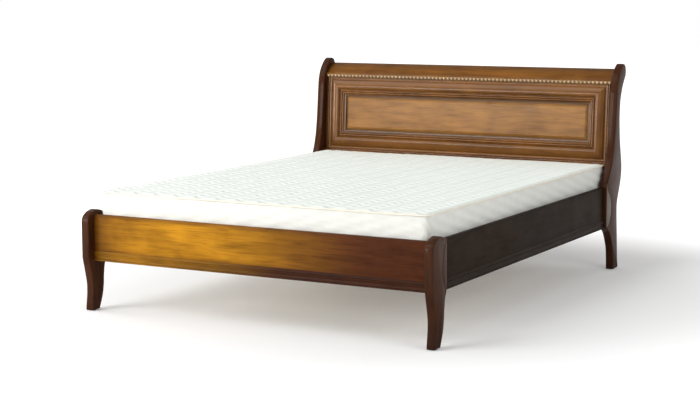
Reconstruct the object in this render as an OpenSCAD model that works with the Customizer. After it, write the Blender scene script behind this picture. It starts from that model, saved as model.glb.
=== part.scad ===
// Sleigh bed for one mattress: scrolled head posts, a leaning panelled headboard with a bead
// course, sabre-legged foot posts, moulded rails, a slatted base and a quilted mattress.
// Frame: +X across the bed, +Y towards the headboard, +Z up, origin on the floor at the middle.

/* [Mattress] */
// Width of the mattress that the bed takes
mattress_w = 1600; // [900:10:2000]
// Length of the mattress that the bed takes
mattress_l = 2000; // [1900:10:2200]
// Thickness of the mattress over its quilted panels
mattress_t = 195; // [120:5:240]
// How far the mattress stands above the rails
mattress_rise = 104; // [60:1:130]
// Radius of the mattress's upright corners
mattress_corner = 28; // [15:1:80]
// Thickness of each quilted panel
quilt_t = 14; // [8:1:20]
// Thickness of the quilted border
border_t = 7; // [4:1:12]
// Radius of the piping cord
piping_r = 4.5; // [3:0.5:7]

/* [Rails] */
// Height of the rails' lower edge above the floor
rail_z = 222; // [180:1:300]
// Height of the foot and side rails
rail_h = 203; // [160:1:260]
// Thickness of the foot and side rails
rail_t = 23; // [20:1:34]
// Clearance between the mattress and each side rail
side_gap = 12; // [4:1:30]
// Clearance between the mattress and the foot rail or the headboard
end_gap = 2; // [1:1:20]
// Height of the base moulding along the rails
base_h = 43; // [30:1:60]
// How far the base moulding stands proud of the rail
base_proud = 7; // [4:0.5:12]

/* [Posts] */
// Thickness of the posts across the bed
post_t = 38; // [30:1:60]
// Depth of a foot post at the rail
foot_d = 125; // [100:1:160]
// How far the foot rail is set back from the front of the foot posts
foot_setback = 43.5; // [30:0.5:60]
// Height of the foot posts above the rails
foot_dome = 20; // [10:1:60]
// Overall height of the head posts
head_h = 1020; // [900:10:1200]
// Distance from the head posts' datum forward to the side rail's seat
seat_reach = 131; // [120:1:150]
// Thickness of the glides under the feet
glide_t = 3; // [2:0.5:8]

/* [Headboard] */
// Thickness of the headboard's leaning boards
board_t = 18; // [16:1:20]
// Thickness of the upright board behind the mattress
lower_t = 24; // [20:1:24]
// Lean of the headboard, in degrees
lean = 3.5; // [1:0.5:4]
// Width of the outer frame moulding
frame_w = 67; // [60:1:80]
// Width of the inner beads between the frame moulding and the raised panel
bead_w = 32; // [30:1:40]
// Width of the plain strip beside the frame moulding, next to the posts
edge_w = 21; // [18:1:60]
// How far the frame moulding stands off the boards
frame_proud = 20; // [14:1:20]
// Width of the bead course above the frame
bead_h = 20; // [16:1:30]
// Radius of one bead
bead_r = 7; // [5:0.5:9]
// Distance from bead to bead
bead_pitch = 21.6; // [18:0.2:30]
// Depth of the grooves that hold the raised panel and the rails' tongues
groove_d = 9; // [6:1:12]
// Thickness of the tongues in those grooves
tongue_t = 6; // [5:0.5:8]

/* [Base] */
// Width of one slat
slat_w = 70; // [50:1:120]
// Thickness of one slat
slat_t = 18; // [12:1:25]
// Number of slats
slat_count = 14; // [8:1:20]
// Depth and width of the ledgers that carry the slats
ledger_s = 30; // [20:1:40]
// Width of the centre beam
beam_w = 40; // [30:1:60]
// Height of the centre beam
beam_h = 70; // [50:1:90]
// Side of the square centre legs
leg_s = 45; // [35:1:70]
// Distance between the two centre legs
leg_spacing = 500; // [400:10:1200]
// How far the pair of centre legs stands from the middle towards the headboard
leg_shift = 300; // [0:10:400]

/* [Joinery] */
// Length of the tenons on the foot rail and the head boards
tenon_l = 24; // [15:1:30]
// Thickness of those tenons
tenon_t = 13; // [10:0.5:15]
// Clearance around tenons and tongues
fit = 0.1; // [0.05:0.05:0.4]
// Height of the rail brackets' plates
bracket_h = 120; // [90:5:140]
// Width of the rail brackets' plates
bracket_w = 16; // [14:1:20]
// Thickness of the rail brackets' plates
bracket_t = 2.5; // [2:0.5:4]
// Radius of the screw shanks
screw_r = 2; // [1.5:0.25:3]
// Radius of the dowels
dowel_r = 4; // [3:0.5:5]

/* [Hidden] */
$fn = 48;
hair = 0.3; // clearance between soft parts and what they lie on
cut = 1; // how far a cutter runs past the face it opens
in_x = mattress_w / 2 + side_gap; // inner faces of posts and side rails
out_x = in_x + post_t; // outer faces of the posts
rail_x = in_x + rail_t; // outer faces of the side rails
rail_top = rail_z + rail_h;
rail_mid = rail_z + rail_h / 2;
foot_toe0 = 19; // front and back of a foot post's toe, from the front of the post
foot_toe1 = foot_d - 52;
head_toe0 = -23; // front and back of a head post's toe, from the posts' datum
head_toe1 = 53;
nose_d = 124; // from the head posts' datum to the tip of the scroll
datum_d = 4.5; // from the lower board's front to that datum
frame_setback = frame_proud - 4.5; // from the lower board's front to the leaning boards
bed_l = foot_setback + rail_t + end_gap + mattress_l + end_gap + datum_d + nose_d;
foot_y = -bed_l / 2; // front of the foot posts
mat_y0 = foot_y + foot_setback + rail_t + end_gap; // foot end of the mattress
mat_y1 = mat_y0 + mattress_l; // head end of the mattress
board_y = mat_y1 + end_gap; // front of the headboard's lower board
seat_y0 = foot_y + foot_d; // where the side rails meet the foot posts
post_y = board_y + datum_d; // datum of the head posts' outlines
seat_y1 = post_y - seat_reach; // where the side rails meet the head posts
rail_l = seat_y1 - seat_y0;
mat_z1 = rail_top + mattress_rise; // top of the mattress
mat_z0 = mat_z1 - mattress_t;
slat_z1 = mat_z0 - hair;
slat_z0 = slat_z1 - slat_t;
ledger_z0 = slat_z0 - ledger_s;
panel_z = mat_z1 + 1; // foot of the leaning frame
bead_z = head_h - 102; // foot of the bead course
frame_l = (bead_z - panel_z) / cos(lean); // length of the leaning frame, up its face
sill = 6; // plain strip below the frame moulding
bottom_rail_w = sill + frame_w + bead_w;
top_rail_w = frame_w + bead_w;
stile_w = edge_w + frame_w + bead_w;
field_v0 = bottom_rail_w; // raised panel, from the frame's foot
field_v1 = frame_l - top_rail_w;
field_x = in_x - stile_w;

wood = [0.42, 0.22, 0.09];
dark_wood = [0.24, 0.13, 0.07];
pine = [0.80, 0.66, 0.44];
steel = [0.70, 0.71, 0.72];
plastic = [0.10, 0.10, 0.10];
quilt = [0.92, 0.95, 0.92];
cream = [0.90, 0.86, 0.76];

// A smooth curve through points, with steps facets between each pair
function curve(p, steps = 5) = [
  for (i = [0:len(p) - 2], j = [0:steps - 1])
    let (a = p[max(i - 1, 0)], b = p[i], c = p[i + 1], d = p[min(i + 2, len(p) - 1)], t = j / steps)
      0.5 * ((2 * b) + (c - a) * t + (2 * a - 5 * b + 4 * c - d) * t * t
        + (3 * b - a - 3 * c + d) * t * t * t),
  p[len(p) - 1]
];

// Points along an arc
function arc(c, r, a0, a1, n = 8) = [
  for (i = [0:n]) let (a = a0 + (a1 - a0) * i / n) c + r * [cos(a), sin(a)]
];

// Heights on a leg follow the rail's height, and heights on the scroll the post's height
function leg(z) = z * rail_z / 222;
function scroll(z) = rail_top + (z - 425) * (head_h - rail_top) / 595;
function moved(p, y) = [for (q = p) [q[0] + y, q[1]]];

// Puts an outline drawn in Y and Z at x, extruded by t along +X
module upright(x, t) {
  translate([x, 0, 0])
    rotate([90, 0, 90])
      linear_extrude(t)
        children();
}

// Draws on the left for side = -1 and on the right for side = 1
module sided(side) {
  if (side < 0)
    mirror([1, 0, 0])
      children();
  else
    children();
}

// Stands its children on the headboard's leaning front face, with Z up the face
module leaning() {
  translate([0, board_y + frame_setback, panel_z])
    rotate([-lean, 0, 0])
      children();
}

// ---- posts -------------------------------------------------------------------------------

// Sawn back edge of a foot post behind its seat pad, from the top down
function foot_hollow() = curve([
  [foot_d - 2, rail_top + 4], [foot_d - 11, rail_top - 12], [foot_d - 24, rail_top - 30],
  [foot_d - 33, rail_top - 56], [foot_d - 39, rail_mid + 8], [foot_d - 39, rail_mid - 20],
  [foot_d - 34, rail_z + 48], [foot_d - 19, rail_z + 18], [foot_d - 6, leg(206)]
]);

// Sabre curve of the foot: back edge down, then the toe, then the front edge up
function foot_leg() = concat(
  curve([[foot_d - 6, leg(206)], [foot_d - 12, leg(187)], [foot_d - 17, leg(148)],
    [foot_d - 20, leg(108)], [foot_d - 27, leg(70)], [foot_d - 38, leg(38)],
    [foot_d - 50, leg(10)], [foot_toe1, glide_t]]),
  curve([[foot_toe0, glide_t], [foot_toe0, leg(17)], [23, leg(45)], [27, leg(80)],
    [27, leg(118)], [21, leg(150)], [12, leg(190)], [3, leg(226)], [0, leg(243)]])
);

// Domed top of the foot, from the front to the back
function foot_top() = curve([
  [0, rail_top - 25], [6, rail_top - 8], [17, rail_top + 0.1 * foot_dome],
  [33, rail_top + 0.6 * foot_dome], [51, rail_top + 0.85 * foot_dome],
  [foot_d - 56, rail_top + foot_dome], [foot_d - 29, rail_top + 0.75 * foot_dome],
  [foot_d - 2, rail_top + 4]
]);

module foot_post(side) {
  sided(side)
    difference() {
      upright(in_x, post_t)
        polygon(moved(concat(foot_hollow(), foot_leg(), foot_top()), foot_y));
      foot_mortise();
    }
}

// Pad that fills the hollow edge and gives the side rail a straight seat
module foot_pad(side) {
  sided(side)
    difference() {
      upright(in_x, post_t)
        polygon(moved(concat(foot_hollow(), [[foot_d, rail_z + 5], [foot_d, rail_top]]), foot_y));
      translate([in_x + rail_t / 2, seat_y0, 0])
        bracket_pocket(-1);
    }
}

// Lower tip of the head posts' pads
head_pad_tip = [10 - seat_reach, rail_z + 3];

// Sawn front edge of a head post behind its seat pad, from the bottom up
function head_hollow() = curve([
  head_pad_tip, [24 - seat_reach, rail_z + 7], [42 - seat_reach, rail_z + 19],
  [59 - seat_reach, rail_z + 46], [67 - seat_reach, rail_z + 74],
  [69 - seat_reach, rail_mid + 8], [64 - seat_reach, rail_top - 68],
  [48 - seat_reach, rail_top - 42], [23 - seat_reach, rail_top - 19],
  [9 - seat_reach, rail_top + 17]
]);

function head_front() = concat(
  curve([[head_toe0, glide_t], [-26, leg(60)], [-33, leg(110)], [-42, leg(130)],
    [-58, leg(162)], [50 - seat_reach, leg(194)], [28 - seat_reach, leg(211)], head_pad_tip]),
  head_hollow(),
  curve([[9 - seat_reach, rail_top + 17], [28 - seat_reach, scroll(470)], [-77, scroll(506)],
    [-60, scroll(539)], [-48, scroll(573)], [-34, scroll(627)], [-23, scroll(700)],
    [-15, scroll(774)], [-8, scroll(847)], [-3, scroll(892)], [5, scroll(926)],
    [19, scroll(958)], [38, scroll(984)], [60, scroll(1006)], [84, scroll(1019)],
    [102, scroll(1017)], [116, scroll(1006)], [nose_d, scroll(985)]])
);

function head_back() = curve([
  [nose_d, scroll(985)], [122, scroll(966)], [111, scroll(948)], [94, scroll(928)],
  [79, scroll(906)], [66, scroll(880)], [53, scroll(848)], [47, scroll(812)],
  [44, scroll(769)], [46, scroll(719)], [54, scroll(646)], [66, scroll(592)],
  [76, scroll(551)], [83, scroll(515)], [82, scroll(480)], [73, scroll(441)],
  [57, rail_z + 179], [38, rail_z + 142], [26, rail_z + 108], [24, rail_z + 74],
  [31, leg(194)], [39, leg(91)], [45, leg(40)], [head_toe1, glide_t]
]);

module head_post(side) {
  sided(side)
    difference() {
      upright(in_x, post_t)
        polygon(moved(concat(head_front(), head_back()), post_y));
      board_mortise();
      leaning()
        dowel_row(dowel_r + fit / 2, 0.5);
    }
}

module head_pad(side) {
  sided(side)
    difference() {
      upright(in_x, post_t)
        polygon(moved(concat(head_hollow(), [[-seat_reach, rail_top], [-seat_reach, rail_z + 8]]),
          post_y));
      translate([in_x + rail_t / 2, seat_y1, 0])
        bracket_pocket(1);
    }
}

// ---- tenons and mortises -----------------------------------------------------------------

foot_rail_mid = foot_y + foot_setback + rail_t / 2;
board_mid = board_y + lower_t / 2;
tenon_inset = 30; // shoulder above and below the rail tenons

// Block on the right that a tenon fills, and with room added, its mortise
module foot_tenon(room = 0) {
  translate([in_x - cut, foot_rail_mid - tenon_t / 2 - room, rail_z + tenon_inset - room])
    cube([tenon_l + cut + room, tenon_t + 2 * room, rail_h - 2 * tenon_inset + 2 * room]);
}

module foot_mortise() {
  foot_tenon(fit);
}

module board_tenon(room = 0) {
  translate([in_x - cut, board_mid - tenon_t / 2 - room, rail_z + tenon_inset - room])
    cube([tenon_l + cut + room, tenon_t + 2 * room, rail_h - 2 * tenon_inset + 2 * room]);
}

module board_mortise() {
  board_tenon(fit);
}

// ---- rails -------------------------------------------------------------------------------

module foot_rail() {
  translate([-in_x, foot_y + foot_setback, rail_z])
    cube([2 * in_x, rail_t, rail_h]);
  for (side = [-1, 1])
    sided(side)
      foot_tenon();
}

// Section of the base moulding: out from the rail and up from its lower edge
function base_section() = concat(
  [[0, 0], [base_proud - 2, 0]],
  arc([base_proud - 3, 3.2], 3, -70, 70),
  arc([base_proud - 4, 9.2], 3, -70, 60),
  [[base_proud - 4, 13]],
  curve([[base_proud - 4, 13], [base_proud - 4.6, 18], [base_proud - 3.4, 23],
    [base_proud - 1, base_h - 16]], 4),
  [[base_proud - 1, base_h - 14], [base_proud - 3, base_h - 13]],
  arc([base_proud - 3.5, base_h - 8.5], 3.5, -60, 70),
  [[2, base_h - 3], [2, base_h - 1], [0, base_h]]
);

module foot_rail_moulding() {
  translate([0, foot_y + foot_setback, rail_z])
    mirror([0, 1, 0])
      upright(-in_x, 2 * in_x)
        polygon(base_section());
}

module side_rail(side) {
  sided(side)
    difference() {
      translate([in_x, seat_y0, rail_z])
        cube([rail_t, rail_l, rail_h]);
      translate([in_x + rail_t / 2, seat_y0, 0])
        bracket_recess(1);
      translate([in_x + rail_t / 2, seat_y1, 0])
        bracket_recess(-1);
      ledger_screw_row(fit / 2);
    }
}

module side_rail_moulding(side) {
  sided(side)
    translate([rail_x, seat_y1, rail_z])
      rotate([90, 0, 0])
        linear_extrude(rail_l)
          polygon(base_section());
}

// ---- rail brackets: hooked plates on the rails drop into slotted plates on the posts ---------

bracket_z = rail_mid; // middle of the brackets
hook_t = 4; // thickness of a hook across the plate
hook_reach = 11; // how far a hook stands past its plate
hook_h = 18; // height of a hook
hook_drop = 8; // how far a hook hangs behind the slotted plate
hook_play = 0.4; // room around a hook in its slot
screw_l = 20; // length of the bracket and ledger screws
head_h_screw = 2; // height of a countersunk head
hook_zs = [for (s = [-0.26, 0.26]) bracket_z + s * bracket_h];
bracket_screw_zs = [for (s = [-0.44, 0, 0.44]) bracket_z + s * bracket_h];

// Countersunk screw along +Z with its head's face at z = 0, or with room added, its hole
module screw(room = 0) {
  cylinder(h = screw_l + room, r = screw_r + room);
  cylinder(h = head_h_screw + room, r1 = 2 * screw_r + room, r2 = screw_r + room);
}

// Turns a child that runs along +Z to run along Y, towards way
module facing(way) {
  rotate([-90 * way, 0, 0])
    children();
}

module bracket_screw_row(way, room = 0) {
  for (z = bracket_screw_zs)
    translate([0, way * fit, z])
      facing(way)
        screw(room);
}

// Block of a plate's width and height from y = 0 towards way
module plate_block(way, depth, room = 0) {
  translate([-bracket_w / 2 - room, way > 0 ? 0 : -depth, bracket_z - bracket_h / 2 - room])
    cube([bracket_w + 2 * room, depth, bracket_h + 2 * room]);
}

module plate(way) {
  difference() {
    plate_block(way, bracket_t);
    bracket_screw_row(way, fit / 2);
  }
}

// Shallow recess for one plate and its screws, running from y = 0 towards way
module bracket_recess(way) {
  translate([0, -way * cut, 0])
    plate_block(way, bracket_t + fit + cut, fit);
  bracket_screw_row(way, fit / 2);
}

// The post side: the same recess, and a well behind it for the hooks
module bracket_pocket(way) {
  depth = hook_reach + 2;
  bracket_recess(way);
  for (z = hook_zs)
    translate([-hook_t / 2 - 1, way > 0 ? 0 : -depth, z - hook_h / 2 - hook_drop - 1])
      cube([hook_t + 2, depth, hook_h + hook_drop + 3]);
}

// Plate in the end of a rail, with hooks that stand out towards way
module hook_plate(way) {
  gap = bracket_t + hook_play;
  plate(-way);
  for (z = hook_zs)
    translate([0, 0, z])
      mirror([0, way > 0 ? 0 : 1, 0]) {
        translate([-hook_t / 2, 0, -hook_h / 2])
          cube([hook_t, hook_reach, hook_h]);
        translate([-hook_t / 2, gap, -hook_h / 2 - hook_drop])
          cube([hook_t, hook_reach - gap, hook_drop + cut]);
      }
}

module slot_plate(way) {
  difference() {
    plate(way);
    for (z = hook_zs)
      translate([-hook_t / 2 - hook_play, -2 * bracket_t, z - hook_h / 2 - hook_play])
        cube([hook_t + 2 * hook_play, 4 * bracket_t, hook_h + 2 * hook_play]);
  }
}

// Repeats its first child where the rails meet the foot posts and its second at the head posts
module at_brackets() {
  for (side = [-1, 1])
    sided(side) {
      translate([in_x + rail_t / 2, seat_y0, 0])
        children(0);
      translate([in_x + rail_t / 2, seat_y1, 0])
        children(1);
    }
}

module hook_plates() {
  at_brackets() {
    hook_plate(-1);
    hook_plate(1);
  }
}

module slot_plates() {
  at_brackets() {
    slot_plate(-1);
    slot_plate(1);
  }
}

// Screws through both plates of each bracket: into the post's pad and into the rail
module bracket_screws() {
  at_brackets() {
    both_rows();
    both_rows();
  }
}

module both_rows() {
  bracket_screw_row(-1);
  bracket_screw_row(1);
}

// ---- headboard ---------------------------------------------------------------------------

// Upright board behind the mattress
module head_lower_board() {
  translate([-in_x, board_y, rail_z])
    cube([2 * in_x, lower_t, panel_z - board_t * sin(lean) - fit - rail_z]);
  for (side = [-1, 1])
    sided(side)
      board_tenon();
}

tongue_y = board_t / 2 - tongue_t / 2; // tongues and grooves run in the middle of the boards

// Groove cut along the inner edge of a frame member, from a to b in X and from v0 to v1
module groove(x0, x1, v0, v1) {
  translate([x0, tongue_y - fit, v0])
    cube([x1 - x0, tongue_t + 2 * fit, v1 - v0]);
}

module head_stile(side) {
  sided(side)
    leaning()
      difference() {
        translate([field_x, 0, 0])
          cube([stile_w, board_t, frame_l]);
        groove(field_x - cut, field_x + groove_d + fit, -cut, frame_l + cut);
        dowel_row(dowel_r + fit / 2, 0.5);
      }
}

module head_top_rail() {
  leaning()
    difference() {
      union() {
        translate([-field_x, 0, field_v1])
          cube([2 * field_x, board_t, top_rail_w]);
        translate([-field_x - groove_d, tongue_y, field_v1 + groove_d + 1])
          cube([2 * (field_x + groove_d), tongue_t, top_rail_w - groove_d - 1]);
      }
      groove(-field_x - cut, field_x + cut, field_v1 - cut, field_v1 + groove_d + fit);
    }
}

module head_bottom_rail() {
  leaning()
    difference() {
      union() {
        translate([-field_x, 0, 0])
          cube([2 * field_x, board_t, bottom_rail_w]);
        translate([-field_x - groove_d, tongue_y, 0])
          cube([2 * (field_x + groove_d), tongue_t, bottom_rail_w - groove_d - 1]);
      }
      groove(-field_x - cut, field_x + cut, field_v0 - groove_d - fit, field_v0 + cut);
    }
}

bevel_w = 17; // width of the raised panel's bevel
bevel_d = 8; // depth of that bevel

// Raised and fielded panel: a flat field, a sloping bevel and a tongue all round
module raised_panel() {
  back = board_t - 4;
  leaning() {
    intersection() {
      panel_prism(2 * field_x, true, back);
      panel_prism(field_v1 - field_v0, false, back);
    }
    translate([-field_x - groove_d + 1, tongue_y, field_v0 - groove_d + 1])
      cube([2 * (field_x + groove_d - 1), tongue_t, field_v1 - field_v0 + 2 * (groove_d - 1)]);
  }
}

// The panel's bevelled section, run along X for its height or along Z for its width
module panel_prism(size, wide, back) {
  h = size / 2 - hair;
  mid_v = (field_v0 + field_v1) / 2;
  section = [[-h, bevel_d], [-h + bevel_w, 1], [-h + bevel_w, 0], [h - bevel_w, 0],
    [h - bevel_w, 1], [h, bevel_d], [h, back], [-h, back]];
  if (wide)
    translate([0, 0, field_v0 - cut])
      linear_extrude(field_v1 - field_v0 + 2 * cut)
        polygon(section);
  else
    translate([-in_x, 0, mid_v])
      rotate([90, 0, 90])
        linear_extrude(2 * in_x)
          polygon([for (p = section) [p[1], p[0]]]);
}

// Sections of the applied mouldings: s runs in from the outer edge, d stands off the boards
function frame_section() = concat(
  [[0, 0], [0, 4]],
  curve([[2, 4.5], [8, 3.6], [13, 5]], 4),
  curve([[13, 6], [19, frame_proud - 9], [28, frame_proud - 4], [40, frame_proud - 0.6],
    [frame_w - 16, frame_proud], [frame_w - 9, frame_proud - 2.5],
    [frame_w - 5, frame_proud - 8]], 4),
  [[frame_w - 4, 9], [frame_w - 3, 10.5], [frame_w, 10.5], [frame_w, 0]]
);

function bead_section() = concat(
  [[0, 0], [0, 6]],
  arc([5.5, 6], 5, 170, 10),
  [[11, 4.5]],
  arc([15.5, 4.5], 4, 170, 10),
  [[20, 3]],
  curve([[21, 3], [25, 1.8], [bead_w - 3, 1.4]], 4),
  [[bead_w, 1.2], [bead_w, 0]]
);

inner_x = field_x + bead_w; // outer edge of the inner beads
inner_v0 = field_v0 - bead_w;
inner_v1 = field_v1 + bead_w;

// Four-sided runs share one rule: the section starts at the outer edge of a frame x by v0..v1
module frame_run(section, x, v0, v1, part) {
  reach = max([for (p = section) p[0]]);
  deep = max([for (p = section) p[1]]) + cut;
  if (part == "top" || part == "bottom") {
    up = part == "top";
    intersection() {
      translate([-x, 0, up ? v1 : v0])
        rotate([90, 0, 90])
          linear_extrude(2 * x)
            polygon([for (p = section) [-p[1], (up ? -1 : 1) * p[0]]]);
      translate([0, cut, 0])
        rotate([90, 0, 0])
          linear_extrude(deep + cut)
            polygon([[-x, up ? v1 : v0], [x, up ? v1 : v0],
              [x - reach, up ? v1 - reach : v0 + reach],
              [-x + reach, up ? v1 - reach : v0 + reach]]);
    }
  }
  else
    sided(part == "left" ? -1 : 1)
      intersection() {
        translate([0, 0, v0])
          linear_extrude(v1 - v0)
            polygon([for (p = section) [x - p[0], -p[1]]]);
        translate([0, cut, 0])
          rotate([90, 0, 0])
            linear_extrude(deep + cut)
              polygon([[x, v0], [x, v1], [x - reach, v1 - reach], [x - reach, v0 + reach]]);
      }
}

module frame_moulding(part) {
  leaning()
    frame_run(frame_section(), inner_x + frame_w, inner_v0 - frame_w, inner_v1 + frame_w, part);
}

module panel_bead(part) {
  leaning()
    frame_run(bead_section(), inner_x, inner_v0, inner_v1, part);
}

strip_d = 7; // how far the bead strip stands off the boards
strip_h = bead_h - 3; // height of the strip, below the crest's fillet
strip_y = board_y + frame_setback + (bead_z - panel_z) * tan(lean); // top of the boards' front
bead_n = floor((in_x - bead_r - 2) / bead_pitch);

// Strip of round beads under the crest, just clear of the leaning frame's top edge
module bead_course() {
  foot = strip_d * sin(lean) + fit;
  translate([0, strip_y, bead_z]) {
    translate([-in_x, -strip_d, foot])
      cube([2 * in_x, strip_d + board_t, strip_h - foot]);
    for (i = [-bead_n:bead_n])
      translate([i * bead_pitch, 1 - strip_d, strip_h / 2 + 0.5])
        rotate([90, 0, 0])
          sphere(r = bead_r, $fn = 32);
  }
}

// Crest: a fillet over the beads, a rolled front, the scroll's nose and a hollow back
function crest_section() = let (z0 = bead_z + strip_h + fit, y0 = strip_y - post_y)
  concat(
    arc([y0 - strip_d, z0 + 3], 3, 270, 90, 6),
    curve([[y0 + 2, z0 + 7], [50, scroll(956)], [65, scroll(969)], [83, scroll(982)],
      [99, scroll(991)], [108, scroll(993)], [116, scroll(990)], [119, scroll(981)],
      [117, scroll(967)], [107, scroll(950)], [90, scroll(930)], [75, scroll(908)],
      [63, scroll(884)], [back_y(crest_foot) + 4, crest_foot]], 4),
    [[back_y(crest_foot) + fit, crest_foot], [back_y(bead_z) + fit, bead_z],
      [back_y(bead_z) + fit, z0]]
  );

crest_foot = bead_z - 50; // where the crest's hollow back runs out
// Back of the leaning boards at height z, from the posts' datum
function back_y(z) = frame_setback - datum_d + (z - panel_z) * tan(lean) + board_t / cos(lean);

module crest_rail() {
  upright(-in_x, 2 * in_x)
    polygon(moved(crest_section(), post_y));
}

// Half-round bead beside each stile's outer edge
module edge_bead(side) {
  sided(side)
    leaning()
      translate([inner_x + frame_w + edge_w / 2 - 4.5, 0, 0])
        linear_extrude(frame_l)
          polygon(concat(arc([0, -1.5], 4.5, 0, -180, 10), [[-4.5, 0], [4.5, 0]]));
}

// Dowels between the stiles and the posts, or with room added, their holes
module dowel_row(r, room = 0) {
  for (v = [0.12, 0.5, 0.85])
    translate([in_x - 22 - room, board_t / 2, v * frame_l])
      rotate([0, 90, 0])
        cylinder(h = 40 + 2 * room, r = r);
}

module stile_dowels() {
  for (side = [-1, 1])
    sided(side)
      leaning()
        dowel_row(dowel_r);
}

// ---- base --------------------------------------------------------------------------------

ledger_ys = [for (i = [0:6]) seat_y0 + rail_l * (i + 0.5) / 7];

// Screws through a ledger into its rail, along +X
module ledger_screw_row(room = 0) {
  for (y = ledger_ys)
    translate([in_x - ledger_s, y, ledger_z0 + ledger_s / 2])
      rotate([0, 90, 0]) {
        cylinder(h = ledger_s + screw_l - 4 + room, r = screw_r + room);
        cylinder(h = head_h_screw + room, r1 = 2 * screw_r + room, r2 = screw_r + room);
      }
}

module ledger(side) {
  sided(side)
    difference() {
      translate([in_x - ledger_s, seat_y0 + cut, ledger_z0])
        cube([ledger_s, rail_l - 2 * cut, ledger_s]);
      ledger_screw_row(fit / 2);
    }
}

module ledger_screws() {
  for (side = [-1, 1])
    sided(side)
      ledger_screw_row();
}

beam_y0 = mat_y0 - end_gap; // back of the foot rail
socket_t = 3; // plate of the beam's sockets
leg_plate_t = 3; // plate between a centre leg and the beam
leg_ys = [leg_shift - leg_spacing / 2, leg_shift + leg_spacing / 2];

module centre_beam() {
  translate([-beam_w / 2, beam_y0 + socket_t + fit, slat_z0 - beam_h])
    cube([beam_w, board_y - beam_y0 - 2 * (socket_t + fit), beam_h]);
}

// U-shaped steel seat, open at the top, with flanges against the rail; way points to the beam
module beam_socket(y, way) {
  w = beam_w / 2 + fit;
  z0 = slat_z0 - beam_h - fit;
  tall = beam_h * 0.75;
  translate([0, y, z0])
    mirror([0, way > 0 ? 0 : 1, 0])
      difference() {
        union() {
          translate([-w - 22, 0, -socket_t])
            cube([2 * w + 44, socket_t, tall + socket_t]);
          translate([-w - socket_t, 0, -socket_t])
            cube([2 * (w + socket_t), 40, tall + socket_t]);
        }
        translate([-w, socket_t, 0])
          cube([2 * w, 40, tall + cut]);
        for (sx = [-1, 1], z = [tall * 0.25, tall * 0.75])
          translate([sx * (w + 13), 0, z])
            rotate([90, 0, 0])
              cylinder(h = 4 * socket_t, r = screw_r + fit / 2, center = true);
      }
}

module centre_leg(y) {
  translate([-leg_s / 2, y - leg_s / 2, glide_t])
    cube([leg_s, leg_s, slat_z0 - beam_h - leg_plate_t - glide_t]);
}

module leg_plates() {
  for (y = leg_ys)
    translate([-leg_s / 2 - 8, y - 45, slat_z0 - beam_h - leg_plate_t])
      cube([leg_s + 16, 90, leg_plate_t]);
}

slat_pitch = (rail_l - slat_w - 10) / (slat_count - 1);

module slats() {
  for (i = [0:slat_count - 1])
    translate([-in_x + 3, seat_y0 + 5 + i * slat_pitch, slat_z0])
      cube([2 * in_x - 6, slat_w, slat_t]);
}

tape_w = 25; // width of the webbing tapes stapled under the slats
tape_t = 1.2;

module slat_tapes() {
  for (x = [-0.5, 0.5] * in_x)
    translate([x - tape_w / 2, seat_y0 + 5, slat_z0 - tape_t])
      cube([tape_w, rail_l - 10, tape_t]);
}

module glide(x, y, r) {
  translate([x, y, 0])
    cylinder(h = glide_t, r = r);
}

module glides() {
  for (sx = [-1, 1]) {
    glide(sx * (in_x + post_t / 2), foot_y + (foot_toe0 + foot_toe1) / 2, 14);
    glide(sx * (in_x + post_t / 2), post_y + (head_toe0 + head_toe1) / 2, 14);
  }
  for (y = leg_ys)
    glide(0, y, 16);
}

// ---- mattress ----------------------------------------------------------------------------

mat_mid = (mat_y0 + mat_y1) / 2;
pipe_w = 2 * piping_r;

// Outline with round corners, inset all round from the mattress's own
module mattress_outline(inset) {
  hx = mattress_w / 2 - inset;
  hy = mattress_l / 2 - inset;
  r = mattress_corner - inset / 2;
  polygon(concat(
    arc([hx - r, hy - r], r, 0, 90), arc([r - hx, hy - r], r, 90, 180),
    arc([r - hx, r - hy], r, 180, 270), arc([hx - r, r - hy], r, 270, 360)
  ));
}

module mattress_slab(z0, z1, inset) {
  translate([0, mat_mid, z0])
    linear_extrude(z1 - z0)
      mattress_outline(inset);
}

module mattress_ring(z0, z1, inset, w) {
  translate([0, mat_mid, z0])
    linear_extrude(z1 - z0)
      difference() {
        mattress_outline(inset);
        mattress_outline(inset + w);
      }
}

module mattress_core() {
  mattress_slab(mat_z0 + quilt_t, mat_z1 - quilt_t, 2 + border_t);
}

module mattress_border() {
  mattress_ring(mat_z0 + quilt_t, mat_z1 - quilt_t, 2, border_t);
}

module mattress_top_panel() {
  mattress_slab(mat_z1 - quilt_t, mat_z1, pipe_w);
}

module mattress_bottom_panel() {
  mattress_slab(mat_z0, mat_z0 + quilt_t, pipe_w);
}

module mattress_piping_top() {
  mattress_ring(mat_z1 - quilt_t, mat_z1 - quilt_t + pipe_w, 0, pipe_w);
}

module mattress_piping_bottom() {
  mattress_ring(mat_z0 + quilt_t - pipe_w, mat_z0 + quilt_t, 0, pipe_w);
}

// ---- what is drawn -----------------------------------------------------------------------

color(dark_wood) foot_post(-1);  // foot_post_left
color(dark_wood) foot_post(1);  // foot_post_right
color(dark_wood) head_post(-1);  // head_post_left
color(dark_wood) head_post(1);  // head_post_right
color(dark_wood) foot_pad(-1);  // foot_pad_left
color(dark_wood) foot_pad(1);  // foot_pad_right
color(dark_wood) head_pad(-1);  // head_pad_left
color(dark_wood) head_pad(1);  // head_pad_right
color(wood) foot_rail();
color(wood) foot_rail_moulding();
color(wood) side_rail(-1);  // side_rail_left
color(wood) side_rail(1);  // side_rail_right
color(wood) side_rail_moulding(-1);  // side_rail_moulding_left
color(wood) side_rail_moulding(1);  // side_rail_moulding_right
color(wood) head_lower_board();
color(wood) head_stile(-1);  // head_stile_left
color(wood) head_stile(1);  // head_stile_right
color(wood) head_top_rail();
color(wood) head_bottom_rail();
color(wood) raised_panel();
color(wood) frame_moulding("top");  // frame_moulding_top
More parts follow.
